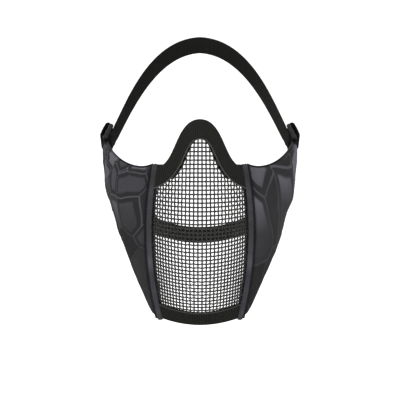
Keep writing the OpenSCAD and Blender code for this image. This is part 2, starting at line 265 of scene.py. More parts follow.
def strap_line(level):
    """The curve of a strap's left half, from its lock to the middle."""
    lock = LOCKS[level]
    start = placed(lock, (LOCK_OUT + 1, 0, -BAR_D / 2 - STRAP_T / 2 - 0.2))
    return [start, start + lock.pull * STRAP_LEAD, *STRAP_REAR[level]]


# ---- mesh building ----
def grid_faces(rows, cols):
    """Quads over a grid of points that is stored row by row."""
    corners = [i * cols + j for i in range(rows - 1) for j in range(cols - 1)]
    return [(k, k + 1, k + cols + 1, k + cols) for k in corners]


def cloth_grid(*parts):
    """Cloth coordinates from three arrays that broadcast to one grid."""
    return np.stack(np.broadcast_arrays(*parts), -1)


class Builder:
    """Collects grids of points into one mesh, with a cloth coordinate for each point."""

    def __init__(self):
        self.points, self.cloth, self.faces, self.count = [], [], [], 0

    def add(self, points, faces, cloth=None):
        points = np.asarray(points, float).reshape(-1, 3)
        self.points.append(points)
        self.cloth.append(points if cloth is None else np.asarray(cloth, float).reshape(-1, 3))
        self.faces.extend([tuple(self.count + i for i in f) for f in faces])
        self.count += len(points)

    def tube(self, rings, cloth=None):
        """A closed tube through rings of the same number of points."""
        rings = np.asarray(rings, float)
        n, m = rings.shape[:2]
        faces = [
            (i * m + j, i * m + (j + 1) % m, (i + 1) * m + (j + 1) % m, (i + 1) * m + j)
            for i in range(n - 1)
            for j in range(m)
        ]
        faces.append(tuple(range(m - 1, -1, -1)))
        faces.append(tuple((n - 1) * m + j for j in range(m)))
        self.add(rings, faces, cloth)

    def skin(self, outer, inner, cloth=None):
        """A closed skin between two grids of the same size, with a rim all round."""
        outer, inner = np.asarray(outer, float), np.asarray(inner, float)
        rows, cols = outer.shape[:2]
        base = rows * cols
        faces = []
        for a, b, c, d in grid_faces(rows, cols):
            faces.append((a, b, c, d))
            faces.append((base + d, base + c, base + b, base + a))
        rim = [(0, j) for j in range(cols)] + [(i, cols - 1) for i in range(1, rows)]
        rim += [(rows - 1, j) for j in range(cols - 2, -1, -1)] + [(i, 0) for i in range(rows - 2, 0, -1)]
        ids = [i * cols + j for i, j in rim]
        for a, b in zip(ids, ids[1:] + ids[:1]):
            faces.append((b, a, base + a, base + b))
        both = None if cloth is None else np.concatenate([np.reshape(cloth, (-1, 3))] * 2)
        self.add(np.concatenate([outer.reshape(-1, 3), inner.reshape(-1, 3)]), faces, both)

    def piece(self, name, material, side="left"):
        """The mesh as an object in metres, mirrored for the wearer's right."""
        points = np.concatenate(self.points) * MM
        if side == "right":
            points[:, 0] *= -1
        mesh = bpy.data.meshes.new(name)
        mesh.from_pydata(points.tolist(), [], self.faces)
        attribute = mesh.attributes.new("cloth", "FLOAT_VECTOR", "POINT")
        attribute.data.foreach_set("vector", (np.concatenate(self.cloth) * MM).astype(np.float32).ravel())
        work = bmesh.new()
        work.from_mesh(mesh)
        bmesh.ops.recalc_face_normals(work, faces=work.faces)
        work.to_mesh(mesh)
        work.free()
        for polygon in mesh.polygons:
            polygon.use_smooth = True
        obj = bpy.data.objects.new(name, mesh)
        bpy.context.scene.collection.objects.link(obj)
        mesh.materials.append(material)
        mesh.set_sharp_from_angle(angle=math.radians(50))
        return obj


def wire_rings(line, radius, sides=8):
    """Rings round a line of points, for a tube of that radius, without twist."""
    line = np.asarray(line, float)
    tangent = unit(np.gradient(line, axis=0))
    side = np.empty_like(line)
    up = np.array([0.3, 1.0, 0.2])
    side[0] = unit(np.cross(tangent[0], up))
    for i in range(1, len(line)):
        side[i] = square_to(side[i - 1], tangent[i])
    other = np.cross(tangent, side)
    a = np.linspace(0, 2 * math.pi, sides, endpoint=False)
    radius = np.broadcast_to(radius, (len(line),))[:, None, None]
    wave = side[:, None] * np.cos(a)[None, :, None] + other[:, None] * np.sin(a)[None, :, None]
    return line[:, None] + radius * wave


def squared_oval(width, height, sides, powers):
    """A section between an oval and a box, as points of (across, out)."""
    a = np.linspace(0, 2 * math.pi, sides, endpoint=False)
    x = np.sign(np.cos(a)) * np.abs(np.cos(a)) ** powers[0] * width / 2
    y = np.sign(np.sin(a)) * np.abs(np.sin(a)) ** powers[1] * height / 2
    return np.stack([x, y], 1)


def thick_line(line, thick, taper):
    """The outline of a strip seen end on: its thickness starts at taper[0] and grows by taper[1]."""
    tangent = unit(np.gradient(line, axis=0))
    normal = np.stack([-tangent[:, 1], tangent[:, 0]], 1)
    from_end = np.minimum(np.arange(len(line)), np.arange(len(line))[::-1])
    half = normal * thick / 2 * np.minimum(1, taper[0] + from_end * taper[1])[:, None]
    return np.concatenate([line + half, (line - half)[::-1]])


def ribbon(builder, line, across_dirs, out_dirs, width, thick, rib, rib_pitch, start=0.0):
    """A woven strip along a line, given its directions across and outward at each point."""
    line = np.asarray(line, float)
    s = start + along_lengths(line)
    section = squared_oval(width, thick, 28, (0.22, 0.62))
    grow = 1 + rib * np.cos(2 * math.pi * s / rib_pitch)
    rings = (
        line[:, None]
        + section[None, :, :1] * across_dirs[:, None]
        + section[None, :, 1:] * grow[:, None, None] * out_dirs[:, None]
    )
    builder.tube(rings, cloth_grid(s[:, None], section[None, :, 0], section[None, :, 1]))


# ---- materials ----
class Nodes:
    """A small helper for a material's nodes: it adds nodes and links their sockets."""

    def __init__(self, name):
        self.material = bpy.data.materials.new(name)
        self.material.use_nodes = True
        self.tree = self.material.node_tree
        self.shader = self.tree.nodes["Principled BSDF"]

    def new(self, kind, inputs=(), **settings):
        node = self.tree.nodes.new(kind)
        for key, value in settings.items():
            setattr(node, key, value)
        for key, value in dict(inputs).items():
            if isinstance(value, bpy.types.NodeSocket):
                self.tree.links.new(value, node.inputs[key])
            else:
                node.inputs[key].default_value = value
        return node

    def link(self, source, target):
        self.tree.links.new(source, target)

    def maths(self, operation, a, b=0.0, c=0.0):
        return self.new("ShaderNodeMath", {0: a, 1: b, 2: c}, operation=operation).outputs[0]

    def cloth(self):
        return self.new("ShaderNodeAttribute", attribute_name="cloth").outputs["Vector"]

    def scaled(self, vector, scale, turn=0.0):
        return self.new(
            "ShaderNodeMapping",
            {"Vector": vector, "Scale": scale, "Rotation": (0, 0, turn)},
        ).outputs[0]

    def ramp(self, value, stops):
        node = self.new("ShaderNodeValToRGB", {"Fac": value})
        ramp = node.color_ramp
        while len(ramp.elements) < len(stops):
            ramp.elements.new(0.5)
        for element, (position, colour) in zip(ramp.elements, stops):
            element.position = position
            element.color = (*colour, 1) if len(colour) == 3 else colour
        return node.outputs[0]

    def mix(self, factor, a, b, blend="MIX"):
        node = self.new("ShaderNodeMix", data_type="RGBA", blend_type=blend)
        for socket, value in ((node.inputs[0], factor), (node.inputs[6], a), (node.inputs[7], b)):
            if isinstance(value, bpy.types.NodeSocket):
                self.link(value, socket)
            elif isinstance(value, tuple) and len(value) == 3:
                socket.default_value = (*value, 1)
            else:
                socket.default_value = value
        return node.outputs[2]

    def bump(self, height, strength, distance):
        node = self.new("ShaderNodeBump", {"Height": height, "Strength": strength, "Distance": distance})
        self.link(node.outputs[0], self.shader.inputs["Normal"])

    def weave(self, vector, pitch, turn=0.0):
        """Height of a plain weave with the given thread pitch in metres, from 0 to 1."""
        turned = self.scaled(vector, (1, 1, 1), turn)
        x, y, _ = self.new("ShaderNodeSeparateXYZ", {0: turned}).outputs
        wave_x = self.maths("SINE", self.maths("MULTIPLY", x, math.pi / pitch))
        wave_y = self.maths("SINE", self.maths("MULTIPLY", y, math.pi / pitch))
        product = self.maths("MULTIPLY", wave_x, wave_y)
        return self.maths("MULTIPLY_ADD", product, 0.5, 0.5)

    def finish(self, colour, roughness, sheen=0.0, specular=0.5):
        for name, value in (("Base Color", colour), ("Roughness", roughness)):
            if isinstance(value, bpy.types.NodeSocket):
                self.link(value, self.shader.inputs[name])
            elif name == "Base Color":
                self.shader.inputs[name].default_value = (*value, 1)
            else:
                self.shader.inputs[name].default_value = value
        self.shader.inputs["Sheen Weight"].default_value = sheen
        self.shader.inputs["Sheen Roughness"].default_value = 0.5
        self.shader.inputs["Specular IOR Level"].default_value = specular
        return self.material


def grey(value):
    return (value, value, value)


BLACK, WHITE = grey(0.0), grey(1.0)


def noise(m, vector, scale, detail=3.0, roughness=0.5):
    inputs = {"Vector": vector, "Scale": scale, "Detail": detail, "Roughness": roughness}
    return m.new("ShaderNodeTexNoise", inputs).outputs[0]


def webbing_material(name, dark, light, pitch, bump=0.5, rib_pitch=0.0):
    """Flat woven black webbing: a tight twill with slight fading, fibre speckle and cross ribs."""
    m = Nodes(name)
    cloth = m.cloth()
    weave = m.weave(cloth, pitch, 0.6)
    fade = noise(m, cloth, 60)
    speckle = noise(m, cloth, 1500, 2)
    tone = m.maths("MULTIPLY_ADD", weave, 0.4, m.maths("MULTIPLY", speckle, 0.6))
    height = m.maths("ADD", weave, m.maths("MULTIPLY", speckle, 0.5))
    if rib_pitch:
        along = m.new("ShaderNodeSeparateXYZ", {0: cloth}).outputs[0]
        rib = m.maths("SINE", m.maths("MULTIPLY", along, 2 * math.pi / rib_pitch))
        tone = m.maths("MULTIPLY_ADD", rib, 0.24, tone)
        height = m.maths("MULTIPLY_ADD", rib, 0.8, height)
    base = m.ramp(tone, [(0.25, dark), (0.85, light)])
    colour = m.mix(m.maths("MULTIPLY", fade, 0.4), base, light)
    m.bump(height, bump, 0.00025)
    return m.finish(colour, m.maths("MULTIPLY_ADD", speckle, 0.2, 0.75), specular=0.02)


def printed_fabric(m, cloth, printed):
    """Brushed plain weave in the given colours."""
    weave = m.weave(cloth, 0.00042)
    speckle = noise(m, cloth, 1900, 2)
    grain = m.ramp(speckle, [(0.3, grey(0.78)), (0.7, grey(1.2))])
    colour = m.mix(1.0, printed, grain, "MULTIPLY")
    m.bump(m.maths("ADD", weave, m.maths("MULTIPLY", speckle, 0.8)), 0.35, 0.0002)
    return m.finish(colour, m.maths("MULTIPLY_ADD", speckle, 0.15, 0.82), specular=0.02)


def camo_material(name, shift, cell_scale, stretch, patch_reach):
    """A generic print of angular grey cells with dark outlines and thin lines, fading in and out.

    The light patches thin out over patch_reach metres below the wing's top edge."""
    m = Nodes(name)
    cloth = m.cloth()
    place = {"Vector": cloth, "Location": shift, "Scale": stretch, "Rotation": (0, 0, shift[0])}
    moved = m.new("ShaderNodeMapping", place).outputs[0]
    warp = m.new("ShaderNodeTexNoise", {"Vector": moved, "Scale": 45, "Detail": 1}).outputs[1]
    push = m.new("ShaderNodeVectorMath", {0: warp, 3: 0.004}, operation="SCALE").outputs[0]
    warped = m.new("ShaderNodeVectorMath", {0: push, 1: moved}, operation="ADD").outputs[0]
    cells = {"Vector": warped, "Scale": cell_scale, "Randomness": 1.0}
    cell = m.new("ShaderNodeTexVoronoi", cells)
    shade = m.new("ShaderNodeSeparateColor", {0: cell.outputs["Color"]}).outputs[0]
    edge = m.new("ShaderNodeTexVoronoi", cells, feature="DISTANCE_TO_EDGE").outputs["Distance"]
    down = m.new("ShaderNodeSeparateXYZ", {0: cloth}).outputs[1]
    near_top = m.maths("SUBTRACT", 1.0, m.maths("DIVIDE", down, patch_reach))
    fade = m.maths("MULTIPLY", noise(m, cell.outputs["Position"], 20, 2), 0.7)
    fade = m.maths("MULTIPLY_ADD", noise(m, moved, 20, 2), 0.3, fade)
    reach = m.ramp(m.maths("MULTIPLY_ADD", near_top, 0.2, fade), [(0.46, BLACK), (0.62, WHITE)])
    base = m.ramp(
        m.maths("MULTIPLY_ADD", noise(m, moved, 34, 3), 0.5, m.maths("MULTIPLY", shade, 0.5)),
        [(0.3, (0.015, 0.015, 0.0155)), (0.5, (0.0225, 0.0225, 0.0235)), (0.75, (0.036, 0.036, 0.039))],
    )
    inside = m.ramp(edge, [(0.085, BLACK), (0.115, WHITE)])
    light = m.ramp(shade, [(0.3, (0.034, 0.034, 0.038)), (0.6, (0.084, 0.084, 0.098))])
    patched = m.mix(m.maths("MULTIPLY", inside, reach), base, light)
    band = m.ramp(edge, [(0.02, WHITE), (0.075, WHITE), (0.095, BLACK)])
    band_share = m.maths("MULTIPLY", band, m.maths("MULTIPLY_ADD", reach, 0.6, 0.3))
    patched = m.mix(band_share, patched, (0.0165, 0.0165, 0.0175))
    line = m.ramp(edge, [(0.008, WHITE), (0.019, BLACK)])
    line_share = m.maths("MULTIPLY", line, m.maths("MULTIPLY_ADD", reach, 0.5, 0.25))
    return printed_fabric(m, cloth, m.mix(line_share, patched, (0.062, 0.062, 0.070)))


def hem_material():
    """The same fabric where the print is plain grey, with painted shade in the stitched groove beside the
    wing.
    """
    m = Nodes("hem_fabric_groove_shade")
    cloth = m.cloth()
    printed = m.ramp(
        noise(m, cloth, 26, 2),
        [(0.35, (0.021, 0.021, 0.023)), (0.5, (0.033, 0.033, 0.037)), (0.65, (0.050, 0.050, 0.057))],
    )
    across_strip = m.new("ShaderNodeSeparateXYZ", {0: cloth}).outputs[0]
    # Painted shade: past 1.6 mm from the seam the print is mixed towards near-black, for the shade in the
    # groove.
    groove = m.ramp(m.maths("MULTIPLY", across_strip, 200.0), [(0.20, BLACK), (0.32, WHITE)])
    return printed_fabric(m, cloth, m.mix(m.maths("MULTIPLY", groove, 0.85), printed, grey(0.005)))


def lining_material():
    """Black brushed knit with a short nap."""
    m = Nodes("brushed_lining")
    cloth = m.cloth()
    nap = noise(m, m.scaled(cloth, (1, 0.35, 1)), 1500, 3, 0.6)
    fade = noise(m, cloth, 45)
    base = m.ramp(nap, [(0.3, grey(0.008)), (0.75, grey(0.024))])
    colour = m.mix(m.maths("MULTIPLY", fade, 0.35), base, (0.022, 0.022, 0.023))
    m.bump(nap, 0.6, 0.0004)
    return m.finish(colour, 0.95, sheen=0.03, specular=0.05)


def foam_material():
    """Dark grey foam sheet with a fine open cell."""
    m = Nodes("wing_foam")
    cell = m.new("ShaderNodeTexVoronoi", {"Vector": m.cloth(), "Scale": 1300}).outputs["Distance"]
    colour = m.ramp(cell, [(0.1, grey(0.05)), (0.7, grey(0.10))])
    m.bump(cell, 0.6, 0.0003)
    return m.finish(colour, 0.85, specular=0.2)


def wire_material():
    """Matt black coating on steel wire, with faint grey patches of painted highlight scattered at random
    over it.
    """
    m = Nodes("black_wire")
    position = m.new("ShaderNodeTexCoord").outputs["Object"]
    speckle = noise(m, position, 2400, 3)
    # Painted highlight: faint grey patches from noise, standing for the light that the wire crowns catch.
    painted_highlight_patches = m.ramp(noise(m, position, 90, 4), [(0.5, BLACK), (0.75, WHITE)])
    base = m.ramp(speckle, [(0.3, (0.0075, 0.0075, 0.007)), (0.8, (0.019, 0.019, 0.018))])
    colour = m.mix(m.maths("MULTIPLY", painted_highlight_patches, 0.35), base, (0.035, 0.035, 0.033))
    m.bump(speckle, 0.25, 0.00008)
    return m.finish(colour, m.maths("MULTIPLY_ADD", speckle, 0.2, 0.45), specular=0.22)


def plastic_material():
    """Moulded black plastic with a fine spark texture."""
    m = Nodes("lock_plastic")
    position = m.new("ShaderNodeTexCoord").outputs["Object"]
    spark = noise(m, position, 1800, 3)
    colour = m.ramp(spark, [(0.3, grey(0.004)), (0.8, grey(0.009))])
    m.bump(spark, 0.3, 0.0001)
    return m.finish(colour, m.maths("MULTIPLY_ADD", spark, 0.2, 0.45), specular=0.08)


def thread_material():
    """Twisted thread: the twist runs along each stitch."""
    m = Nodes("thread")
    wave = m.new(
        "ShaderNodeTexWave",
        {"Vector": m.cloth(), "Scale": 900, "Distortion": 0.4},
        wave_type="BANDS",
        bands_direction="DIAGONAL",
    ).outputs[1]
    colour = m.ramp(wave, [(0.2, grey(0.004)), (0.8, grey(0.016))])
    m.bump(wave, 0.5, 0.0001)
    return m.finish(colour, 0.7, sheen=0.02, specular=0.15)


BINDING = webbing_material(
    "binding_webbing", (0.0022, 0.0022, 0.0020), (0.0180, 0.0180, 0.0162), 0.0006, 0.6, rib_pitch=0.0019
)
# The cord is coloured lighter than the binding: its lighter grey is painted highlight along the rolled
# inner edge.
CORD_PAINTED_HIGHLIGHT = webbing_material("edge_cord_painted_highlight", (0.0260, 0.0260, 0.0235), (0.0480, 0.0480, 0.0440), 0.0006)
WEBBING = webbing_material("tab_webbing", (0.0035, 0.0035, 0.0032), (0.0120, 0.0120, 0.0110), 0.0008, 0.7)
ELASTIC = webbing_material("strap_elastic", (0.0035, 0.0035, 0.0032), (0.0130, 0.0130, 0.0120), 0.0007, 0.8)
CAMO = {
    "left": camo_material("camo_left", (0.77, 0.4, 0), 30, (1, 0.45, 1), 0.05),
    "right": camo_material("camo_right", (0.31, 0.12, 0), 44, (1, 0.7, 1), 0.07),
}
HEM = hem_material()
LINING = lining_material()
FOAM = foam_material()
WIRE = wire_material()
PLASTIC = plastic_material()
THREAD = thread_material()


def settle(piece, body, slot, *nodes):
    """The piece rides on a body and stands for CAD nodes; slot is not used."""
    if nodes:
        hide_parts(*nodes)
    if body:
        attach(piece, body)
    return piece


# ---- the woven steel mesh ----
WIRE_D, WIRE_PITCH, CRIMP = 1.45, 3.85, 0.52


def arc_table(slope, low, high):
    """Positions and their distances along a curve with the given slope, zero at its start."""
    at = np.linspace(low, high, 900)
    ds = np.sqrt(1 + slope(at) ** 2)
    length = np.concatenate([[0], np.cumsum((ds[1:] + ds[:-1]) / 2 * np.diff(at))])
    return at, length


X_AT, X_LENGTH = arc_table(lambda x: 2 * PROW * x, 0, 70)
Z_AT, Z_LENGTH = arc_table(lambda z: front(z + 0.5) - front(z - 0.5), -200, 4)


def woven(c, r):
    """The mesh panel's x and z at column c and row r. Rows sag towards the chin at the centre."""
    z0 = np.interp(r * WIRE_PITCH, Z_LENGTH, Z_AT)
    x = np.sign(c) * np.interp(np.abs(c) * WIRE_PITCH, X_LENGTH, X_AT)
    x = x * (1 - 0.4 * (1 - seam_x(z0) / MESH_HALF_W))
    sag = 0.0036 * np.clip((-45 - z0) / 70, 0, 1)
    return x, z0 + sag * x * x


def in_panel(x, z):
    """Whether points lie on the panel, whose edges are hidden in the bindings and the hems."""
    t = np.linspace(0, 1, 200)
    outline = nose_outline(t, np.full_like(t, 0.2))
    top = np.interp(np.abs(x), outline[:, 0], outline[:, 1], right=-200)
    side = seam_x(z) + HEM_W - 0.6
    past_end = np.abs(x) > outline[-1, 0]
    top = np.where(past_end & (z < outline[-1, 1] + 8), 0, top)
    return (z < top) & (z > chin_edge_z(x) + 3) & (np.abs(x) < side)


def add_wire(builder, c, r, crimp):
    """One crimped wire along a column or a row, cut to the panel."""
    x, z = woven(c, r)
    keep = in_panel(x, z)
    if keep.sum() > 4:
        builder.tube(wire_rings(on_mesh(x, z, crimp)[keep], WIRE_D / 2))


def make_mesh():
    columns, rows, fine = np.arange(-16.5, 17), np.arange(1, 66), 0.2
    along_column, along_row = np.arange(0, 66, fine), np.arange(-17, 17.01, fine)
    b = Builder()
    for j, c in enumerate(columns):
        add_wire(b, c, along_column, CRIMP * np.cos(math.pi * along_column) * (-1) ** j)
    for r in rows:
        add_wire(b, along_row, float(r), -CRIMP * np.cos(math.pi * (along_row - columns[0])) * (-1) ** r)
    settle(b.piece("woven_mesh", WIRE), "face", "wire_mesh", "mesh_face")


make_mesh()


# ---- the bindings: webbing folded over the mesh's edge ----
def fold_section(width, inner_reach, thick):
    """Section of a band folded over an edge, as closed points of (distance in from the edge, out)."""
    mid = (COVER_IN + COVER_OUT) / 2
    arc = [(mid - mid * math.sin(a), mid * math.cos(a)) for a in np.linspace(0, math.pi, 9)]
    path = [(width, mid - 0.25), (width - 1.2, mid), (width * 0.5, mid + 0.1), *arc, (inner_reach, -mid)]
    return thick_line(rounded(path, 0.8, 2), thick, (0.45, 0.4))


def folded_band(name, place, stations, width, rib=0.0, rib_pitch=1.0):
    """A folded band swept along its edge, with ribs across it."""
    t = np.linspace(-1, 1, stations)
    s = along_lengths(place(t, np.zeros_like(t), 0))
    section = fold_section(width, width * 0.85, BAND_T * 0.95)
    ribs = 1 + rib * np.cos(2 * math.pi * s / rib_pitch)
    off = section[None, :, 1] * ribs[:, None]
    rings = place(t[:, None], np.broadcast_to(section[None, :, 0] / width, off.shape), off)
    b = Builder()
    b.tube(rings, cloth_grid(s[:, None], section[None, :, 0], 0.0))
    return b.piece(name, BINDING)


def edge_bead(name, place, diameter, lift):
    """A thin raised cord along a binding's inner edge, in a lighter grey that is painted highlight."""
    t = np.linspace(-1, 1, 220)
    line = place(t, np.full_like(t, 0.985), COVER_OUT + lift)
    around = np.linspace(0, diameter * 3, 12)
    b = Builder()
    b.tube(
        wire_rings(line, diameter / 2, len(around)),
        cloth_grid(along_lengths(line)[:, None], around[None], 0.0),
    )
    return b.piece(name, CORD_PAINTED_HIGHLIGHT)


NOSE_WIDTH, CHIN_WIDTH = 18, 13
nose = folded_band("nose_binding_tape", nose_at, 200, NOSE_WIDTH)
settle(nose, "face", "binding", "nose_binding")
settle(edge_bead("nose_binding_piping", nose_at, 1.3, 0.1), "face", "binding")
chin = folded_band("chin_binding_tape", chin_at, 420, CHIN_WIDTH, rib=0.05, rib_pitch=1.15)
settle(chin, "face", "binding", "chin_binding")
settle(edge_bead("chin_binding_piping", chin_at, 1.0, -0.1), "face", "binding")


def make_nose_pad():
    """The soft pad inside the nose binding, crowned and thin at its edges."""
    reach = 0.8
    t = np.linspace(-reach, reach, 70)[:, None]
    f = np.linspace(0.05, 0.95, 22)[None]
    top = -COVER_OUT - 0.16
    end = np.sqrt(np.clip(1 - (np.abs(t) / reach) ** 6, 0, 1))
    thick = NOSE_PAD_T * (0.12 + 0.88 * (1 - np.abs(2 * f - 1) ** 3.2)) * (0.15 + 0.85 * end)
    b = Builder()
    b.skin(nose_at(t, f, top), nose_at(t, f, top - thick), cloth_grid(t * 100, f * 17, 0.0))
    pad = settle(b.piece("nose_bridge_pad", LINING), "face", "pad", "nose_pad")


make_nose_pad()


# ---- hems, edge tapes and the stitched groove along each seam ----
def seam_strip(name, material, side, path, thick, pucker):
    """A strip of cloth along a seam, from a path of (distance past the seam, out)."""
    section = thick_line(rounded(path, 0.35, 3), thick, (0.4, 0.3))
    low, high = HEM_BOTTOM_Z - 0.6, HEM_TOP_Z + 0.6
    z = np.linspace(high, low, int((high - low) / 1.5))
    rings = on_mesh(seam_x(z)[:, None] + section[None, :, 0], z[:, None], section[None, :, 1])
    phase = {"left": 0.0, "right": 1.7}[side]
    wave = pucker * (np.sin(z * 1.31 + phase) * 0.5 + np.sin(z * 0.47 + 2 * phase) * 0.5)
    rings = rings + wave[:, None, None] * np.array([0.55, -0.8, 0])
    b = Builder()
    b.tube(rings, cloth_grid(section[None, :, 0], z[:, None], 0.0))
    return b.piece(name, material, side)


HEM_PATH = [(-2.2, 1.7), (-2.6, 2.5), (-1.7, 3.5), (-0.4, 3.7), (0.6, 3.3), (1.3, 2.2)]
HEM_PATH += [(2.6, 1.9), (3.8, 1.9), (4.7, 1.2)]
TAPE_PATH = [(-0.9, -3.2), (0.5, -3.3), (2, -3.3), (3.4, -3.2)]
for side in SIDES:
    hem = seam_strip(f"{side}_hem_strip", HEM, side, HEM_PATH, 1.0, 0.12)
    settle(hem, "face", "camo_fabric", f"{side}_hem")
    tape = seam_strip(f"{side}_seam_tape", BINDING, side, TAPE_PATH, BAND_T, 0.05)
    settle(tape, "face", "binding", f"{side}_edge_tape")


# ---- stitches ----
def stitches(builder, line, out, length, gap, radius=0.24):
    """A run of short bowed threads along a line that lies on the cloth."""
    s = along_lengths(line)
    count = int(s[-1] // (length + gap))
    for k in range(count):
        at = np.linspace(k * (length + gap) + gap / 2, k * (length + gap) + gap / 2 + length, 7)
        p = np.stack([np.interp(at, s, line[:, i]) for i in range(3)], 1)
        n = np.stack([np.interp(at, s, out[:, i]) for i in range(3)], 1)
        bow = 0.28 * np.sin(np.linspace(0, math.pi, 7)) - 0.06
        thin = 0.45 + 0.55 * np.sin(np.linspace(0, math.pi, 7)) ** 0.5
        builder.tube(wire_rings(p + n * bow[:, None], radius * thin, 7))


def surface_run(place, t, f, off):
    """Points and outward directions along a line at width f of a binding."""
    p = place(t, f, off)
    return p, unit(place(t, f, off + 1) - p)


def make_stitching():
    for edge, place, end, points, lift in (
        ("nose", nose_at, 0.9, 160, 0.0),
        ("chin", chin_at, 0.92, 120, 0.05),
    ):
        b = Builder()
        t = np.linspace(-end, end, points)
        stitches(b, *surface_run(place, t, 0.86, COVER_OUT + lift), 2.2, 1.2)
        settle(b.piece(f"{edge}_binding_stitches", THREAD), "face", "thread", f"{edge}_stitching")
    z = np.linspace(HEM_TOP_Z - 1, HEM_BOTTOM_Z + 1, 200)
    x = seam_x(z) + 2.9
    line = on_mesh(x, z, 2.45)
    out = unit(on_mesh(x, z, 3.45) - line)
    for side in SIDES:
        b = Builder()
        stitches(b, line, out, 2.3, 1.1, 0.22)
        settle(b.piece(f"{side}_hem_stitches", THREAD, side), "face", "thread", f"{side}_hem_stitching")


make_stitching()


# ---- the wings ----
CORNER_U, CORNER_V = 0.10, 0.08
EDGE_ROLL, FRONT_ROLL = 4.5, 2.8
MID_OFF = (WING_IN + WING_OUT) / 2
ROWS, COLS = 74, 92


def wing_grid(grow):
    """Parameters of a wing's grid with rounded rear corners, grown past the edges by grow."""
    a = np.linspace(0, 1, COLS)
    u = np.sin(a * math.pi / 2) ** 0.9 * 0.35 + a * 0.65
    v = 0.5 - 0.5 * np.cos(np.linspace(0, math.pi, ROWS))
    v = v * 0.6 + np.linspace(0, 1, ROWS) * 0.4
    past = np.clip((u - (1 - CORNER_U)) / CORNER_U, 0, 1)
    cut = CORNER_V * (1 - np.sqrt(np.clip(1 - past**2, 0, 1)))
    low, high = cut - grow, 1 - cut + grow
    v_grid = low[None] + (high - low)[None] * v[:, None]
    u_grid = np.broadcast_to(u[None] * (1 + grow), v_grid.shape)
    return u_grid, v_grid


def edge_distances(points):
    """Distance of each grid point from the front, rear, top and bottom edges, along the grid."""
    along = np.linalg.norm(np.diff(points, axis=1), axis=2)
    down = np.linalg.norm(np.diff(points, axis=0), axis=2)
    from_front = np.concatenate([np.zeros((ROWS, 1)), np.cumsum(along, 1)], 1)
    from_top = np.concatenate([np.zeros((1, COLS)), np.cumsum(down, 0)], 0)
    return from_front, from_front[:, -1:] - from_front, from_top, from_top[-1:] - from_top


def roll(distance, reach):
    """From 0 at an edge to 1 beyond reach, as a quarter circle."""
    d = np.clip(distance / reach, 0, 1)
    return np.sqrt(np.clip(1 - (1 - d) ** 2, 0, 1))


def folds(u, v, seed):
    """Shallow folds that run back from the seam and down from the top edge, in millimetres."""
    rng = np.random.default_rng(seed)
    total = np.zeros_like(u)
    for _ in range(9):
        cu, cv = rng.uniform(0.1, 0.95), rng.uniform(0.1, 0.95)
        turn = rng.uniform(-0.5, 1.2)
        wide, length = rng.uniform(0.04, 0.08), rng.uniform(0.2, 0.5)
        x = (u - cu) * math.cos(turn) + (v - cv) * 1.6 * math.sin(turn)
        y = -(u - cu) * math.sin(turn) + (v - cv) * 1.6 * math.cos(turn)
        total += rng.uniform(-0.35, 0.5) * np.exp(-((x / wide) ** 2) - (y / length) ** 2)
    return total


def wing_layer(face_off, thick, grow, seed, crown, fold_share, crease):
    """Outer and inner grids of one fabric layer and its cloth coordinates."""
    u, v = wing_grid(grow)
    front_d, rear_d, top_d, bottom_d = edge_distances(on_wing(u, v, 0))
    edge = np.minimum(np.minimum(top_d, bottom_d), rear_d)
    rise = roll(edge, EDGE_ROLL) * roll(front_d + 0.3, FRONT_ROLL)
    inside = smooth(edge / 22) * smooth(front_d / 16)
    free = smooth(edge / 8) * smooth(front_d / 8)
    groove = np.exp(-(((u - 0.86 + 0.05 * v) / 0.016) ** 2)) * smooth(v / 0.25) * smooth((1 - v) / 0.3)
    off = MID_OFF + (face_off - MID_OFF) * rise
    off = off + crown * inside + folds(u, v, seed) * fold_share * free - crease * groove * free
    way = 1 if face_off > MID_OFF else -1
    return on_wing(u, v, off), on_wing(u, v, off - way * thick), cloth_grid(front_d, top_d, 0.0)


def let_settle(grid, under, frames=36):
    """Sews a cloth sheet, cut a little too large, down along its edges and lets it settle.

    The grids are in millimetres. The sheet is simulated ten times life size, without gravity, and
    the padding under it keeps it from sinking towards the grid under."""
    rows, cols = grid.shape[:2]
    mesh = bpy.data.meshes.new("settling")
    mesh.from_pydata((grid.reshape(-1, 3) * MM * 10).tolist(), [], grid_faces(rows, cols))
    sheet = bpy.data.objects.new("settling", mesh)
    bpy.context.scene.collection.objects.link(sheet)
    sewn = sheet.vertex_groups.new(name="sewn")
    index = np.arange(rows * cols).reshape(rows, cols)
    edges = (index[:3], index[-3:], index[:, :3], index[:, -6:])
    sewn.add(np.unique(np.concatenate([part.ravel() for part in edges])).tolist(), 1.0, "REPLACE")
    cloth = sheet.modifiers.new("cloth", "CLOTH")
    how = cloth.settings
    how.quality, how.mass, how.air_damping = 5, 0.25, 4
    how.tension_stiffness = how.compression_stiffness = 20
    how.shear_stiffness, how.bending_stiffness = 8, 1.2
    how.vertex_group_mass = "sewn"
    how.shrink_min = -0.03
    how.effector_weights.gravity = 0
    cloth.collision_settings.use_collision = False
    for number in range(1, frames + 1):
        bpy.context.scene.frame_set(number)
    settled = sheet.evaluated_get(bpy.context.evaluated_depsgraph_get())
    points = np.empty(rows * cols * 3)
    settled.data.vertices.foreach_get("co", points)
    bpy.context.scene.frame_set(1)
    bpy.data.objects.remove(sheet)
    bpy.data.meshes.remove(mesh)
    moved = points.reshape(rows, cols, 3) / (MM * 10) - grid
    out = unit(grid - under)
    lift = np.sum(moved * out, -1, keepdims=True)
    held = np.clip(lift * np.where(lift < 0, 0.1, 1.0), -0.2, 2.2)
    return grid + moved - out * lift + out * held


def wing_blend(piece):
    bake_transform(piece)


def wing_cloth(name, material, side, slot, node, outer, inner, cloth):
    """One of a wing's two cloth layers, as a piece."""
    b = Builder()
    b.skin(outer, inner, cloth)
    piece = settle(b.piece(name, material, side), None, slot, node)
    wing_blend(piece)


